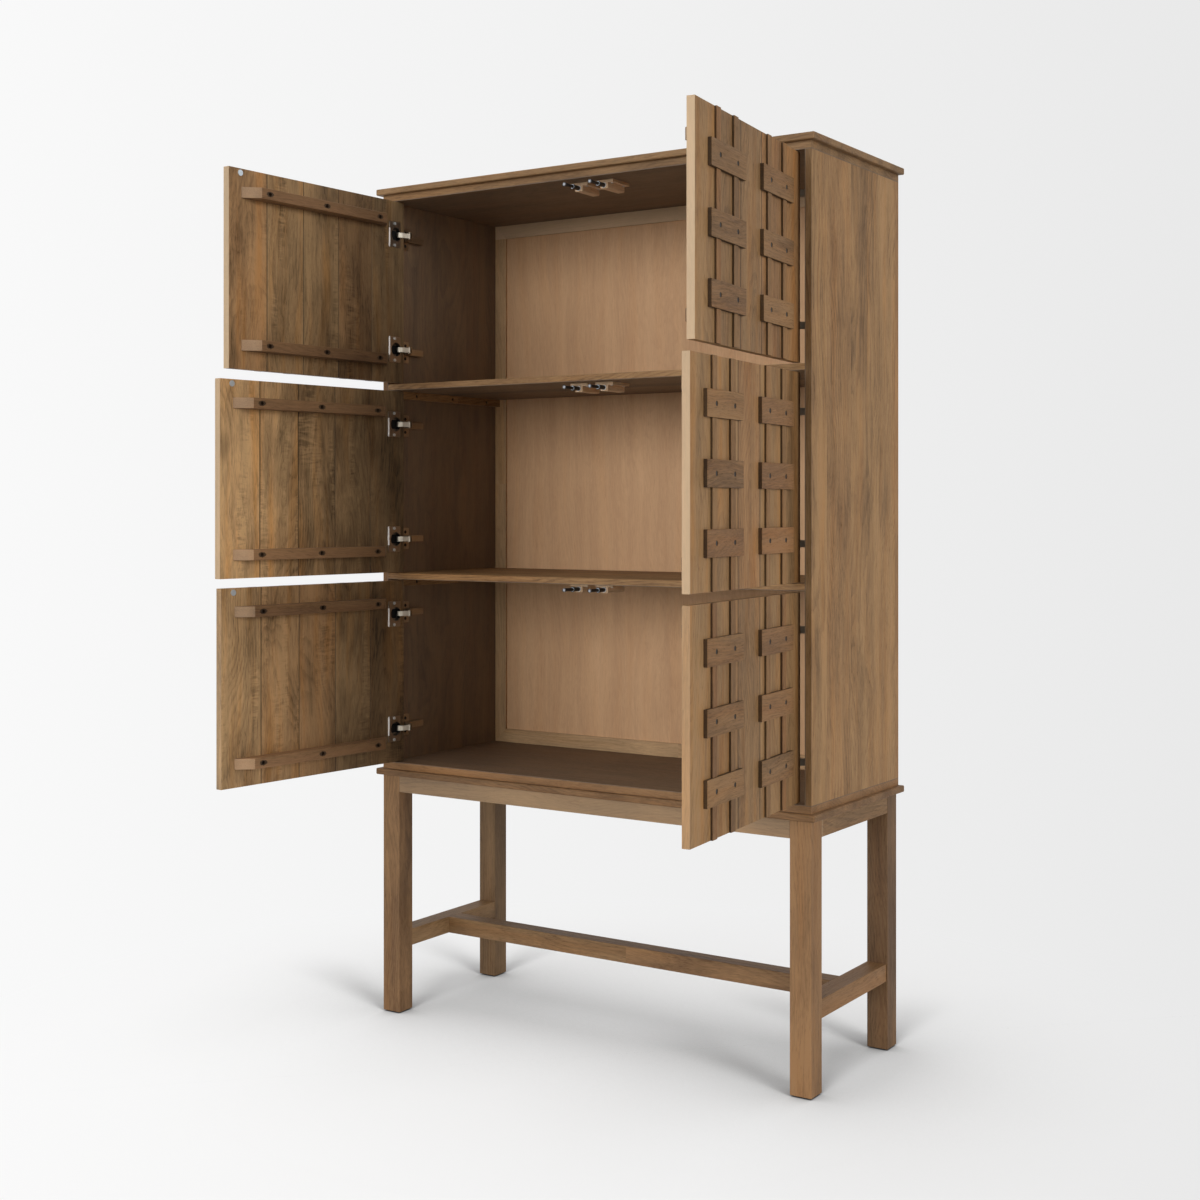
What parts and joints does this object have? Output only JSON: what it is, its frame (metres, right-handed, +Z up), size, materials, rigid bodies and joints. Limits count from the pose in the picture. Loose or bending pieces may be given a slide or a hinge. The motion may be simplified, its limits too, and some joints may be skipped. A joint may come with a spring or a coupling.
{
  "type": "tall cabinet",
  "caption": "Tall hinged-door storage cabinet on an open stand, with shelves, a framed back, lattice-faced doors and concealed hinges.",
  "frame": {"origin": "on the floor, under the middle of the cabinet's box with the doors standing open", "axes": "+X to the cabinet's right as seen from the front, +Y from the open front to the back, +Z up"},
  "size_m": [1.2099, 0.991, 2],
  "materials": {
    "frame_wood": "satin stain, medium walnut brown",
    "panel_wood": "satin stain, olive brown figured grain",
    "lattice_wood": "satin stain, darker walnut brown",
    "back_veneer": "matt veneer, light pinkish brown, upright grain",
    "hinge_steel": "nickel plated, satin",
    "dark_metal": "black oxide",
    "black_plastic": "matt black"
  },
  "bodies": {
    "case": {"top_board": "frame_wood", "bottom_board": "frame_wood", "case_top": "frame_wood", "case_bottom": "frame_wood", "side_left": "panel_wood", "side_right": "panel_wood", "shelf_upper": "panel_wood", "shelf_lower": "panel_wood", "back_panel": "back_veneer", "back_frame": "frame_wood", "shelf_cleats": "frame_wood", "legs": "frame_wood", "stand_rails": "frame_wood", "glides": "black_plastic", "latch_blocks": "frame_wood", "latch_bodies": "black_plastic", "hinge_arms": "hinge_steel", "case_screws": "hinge_steel"},
    "door_upper_left": {"door_upper_left_boards": "panel_wood", "door_upper_left_lattice": "lattice_wood", "door_upper_left_cleats": "panel_wood", "door_upper_left_hardware": "hinge_steel", "door_upper_left_fasteners": "dark_metal"},
    "hinge_links_upper_left": {"hinge_links_upper_left": "hinge_steel"},
    "plunger_upper_left": {"latch_plunger_upper_left": "hinge_steel"},
    "door_upper_right": {"door_upper_right_boards": "panel_wood", "door_upper_right_lattice": "lattice_wood", "door_upper_right_cleats": "panel_wood", "door_upper_right_hardware": "hinge_steel", "door_upper_right_fasteners": "dark_metal"},
    "hinge_links_upper_right": {"hinge_links_upper_right": "hinge_steel"},
    "plunger_upper_right": {"latch_plunger_upper_right": "hinge_steel"},
    "door_middle_left": {"door_middle_left_boards": "panel_wood", "door_middle_left_lattice": "lattice_wood", "door_middle_left_cleats": "panel_wood", "door_middle_left_hardware": "hinge_steel", "door_middle_left_fasteners": "dark_metal"},
    "hinge_links_middle_left": {"hinge_links_middle_left": "hinge_steel"},
    "plunger_middle_left": {"latch_plunger_middle_left": "hinge_steel"},
    "door_middle_right": {"door_middle_right_boards": "panel_wood", "door_middle_right_lattice": "lattice_wood", "door_middle_right_cleats": "panel_wood", "door_middle_right_hardware": "hinge_steel", "door_middle_right_fasteners": "dark_metal"},
    "hinge_links_middle_right": {"hinge_links_middle_right": "hinge_steel"},
    "plunger_middle_right": {"latch_plunger_middle_right": "hinge_steel"},
    "door_lower_left": {"door_lower_left_boards": "panel_wood", "door_lower_left_lattice": "lattice_wood", "door_lower_left_cleats": "panel_wood", "door_lower_left_hardware": "hinge_steel", "door_lower_left_fasteners": "dark_metal"},
    "hinge_links_lower_left": {"hinge_links_lower_left": "hinge_steel"},
    "plunger_lower_left": {"latch_plunger_lower_left": "hinge_steel"},
    "door_lower_right": {"door_lower_right_boards": "panel_wood", "door_lower_right_lattice": "lattice_wood", "door_lower_right_cleats": "panel_wood", "door_lower_right_hardware": "hinge_steel", "door_lower_right_fasteners": "dark_metal"},
    "hinge_links_lower_right": {"hinge_links_lower_right": "hinge_steel"},
    "plunger_lower_right": {"latch_plunger_lower_right": "hinge_steel"}
  },
  "joints": [
    {"name": "door_hinge_upper_left", "type": "hinge", "parent": "case", "child": "door_upper_left", "pos_m": [-0.5428, 0.04591, 1.7465], "axis": [0, 0, -1], "range_deg": [-92.5, 12.5]},
    {"name": "hinge_link_turn_upper_left", "type": "hinge", "parent": "case", "child": "hinge_links_upper_left", "pos_m": [-0.516, 0.06851, 1.7465], "axis": [0, 0, 1], "range_deg": [-36.08, 4.88]},
    {"name": "latch_slide_upper_left", "type": "slide", "parent": "case", "child": "plunger_upper_left", "axis": [0, 1, 0], "range_m": [-0.00403, 0.02981]},
    {"name": "door_hinge_upper_right", "type": "hinge", "parent": "case", "child": "door_upper_right", "pos_m": [0.5428, 0.04591, 1.7465], "axis": [0, 0, 1], "range_deg": [-97, 8]},
    {"name": "hinge_link_turn_upper_right", "type": "hinge", "parent": "case", "child": "hinge_links_upper_right", "pos_m": [0.516, 0.06851, 1.7465], "axis": [0, 0, -1], "range_deg": [-37.83, 3.12]},
    {"name": "latch_slide_upper_right", "type": "slide", "parent": "case", "child": "plunger_upper_right", "axis": [0, 1, 0], "range_m": [-0.00246, 0.02981]},
    {"name": "door_hinge_middle_left", "type": "hinge", "parent": "case", "child": "door_middle_left", "pos_m": [-0.5428, 0.04591, 1.2885], "axis": [0, 0, -1], "range_deg": [-95.5, 9.5]},
    {"name": "hinge_link_turn_middle_left", "type": "hinge", "parent": "case", "child": "hinge_links_middle_left", "pos_m": [-0.516, 0.06851, 1.2885], "axis": [0, 0, 1], "range_deg": [-37.25, 3.71]},
    {"name": "latch_slide_middle_left", "type": "slide", "parent": "case", "child": "plunger_middle_left", "axis": [0, 1, 0], "range_m": [-0.00297, 0.02981]},
    {"name": "door_hinge_middle_right", "type": "hinge", "parent": "case", "child": "door_middle_right", "pos_m": [0.5428, 0.04591, 1.2885], "axis": [0, 0, 1], "range_deg": [-96, 9]},
    {"name": "hinge_link_turn_middle_right", "type": "hinge", "parent": "case", "child": "hinge_links_middle_right", "pos_m": [0.516, 0.06851, 1.2885], "axis": [0, 0, -1], "range_deg": [-37.44, 3.51]},
    {"name": "latch_slide_middle_right", "type": "slide", "parent": "case", "child": "plunger_middle_right", "axis": [0, 1, 0], "range_m": [-0.0028, 0.02981]},
    {"name": "door_hinge_lower_left", "type": "hinge", "parent": "case", "child": "door_lower_left", "pos_m": [-0.5428, 0.04591, 0.8305], "axis": [0, 0, -1], "range_deg": [-95, 10]},
    {"name": "hinge_link_turn_lower_left", "type": "hinge", "parent": "case", "child": "hinge_links_lower_left", "pos_m": [-0.516, 0.06851, 0.8305], "axis": [0, 0, 1], "range_deg": [-37.06, 3.91]},
    {"name": "latch_slide_lower_left", "type": "slide", "parent": "case", "child": "plunger_lower_left", "axis": [0, 1, 0], "range_m": [-0.00314, 0.02981]},
    {"name": "door_hinge_lower_right", "type": "hinge", "parent": "case", "child": "door_lower_right", "pos_m": [0.5428, 0.04591, 0.8305], "axis": [0, 0, 1], "range_deg": [-96, 9]},
    {"name": "hinge_link_turn_lower_right", "type": "hinge", "parent": "case", "child": "hinge_links_lower_right", "pos_m": [0.516, 0.06851, 0.8305], "axis": [0, 0, -1], "range_deg": [-37.44, 3.51]},
    {"name": "latch_slide_lower_right", "type": "slide", "parent": "case", "child": "plunger_lower_right", "axis": [0, 1, 0], "range_m": [-0.0028, 0.02981]}
  ],
  "couplings": [
    {"joint": "hinge_link_turn_upper_left", "follows": "door_hinge_upper_left", "ratio": 0.39},
    {"joint": "latch_slide_upper_left", "follows": "door_hinge_upper_left", "m_per_rad": -0.018458},
    {"joint": "hinge_link_turn_upper_right", "follows": "door_hinge_upper_right", "ratio": 0.39},
    {"joint": "latch_slide_upper_right", "follows": "door_hinge_upper_right", "m_per_rad": -0.017602},
    {"joint": "hinge_link_turn_middle_left", "follows": "door_hinge_middle_left", "ratio": 0.39},
    {"joint": "latch_slide_middle_left", "follows": "door_hinge_middle_left", "m_per_rad": -0.017879},
    {"joint": "hinge_link_turn_middle_right", "follows": "door_hinge_middle_right", "ratio": 0.39},
    {"joint": "latch_slide_middle_right", "follows": "door_hinge_middle_right", "m_per_rad": -0.017786},
    {"joint": "hinge_link_turn_lower_left", "follows": "door_hinge_lower_left", "ratio": 0.39},
    {"joint": "latch_slide_lower_left", "follows": "door_hinge_lower_left", "m_per_rad": -0.017973},
    {"joint": "hinge_link_turn_lower_right", "follows": "door_hinge_lower_right", "ratio": 0.39},
    {"joint": "latch_slide_lower_right", "follows": "door_hinge_lower_right", "m_per_rad": -0.017786}
  ]
}
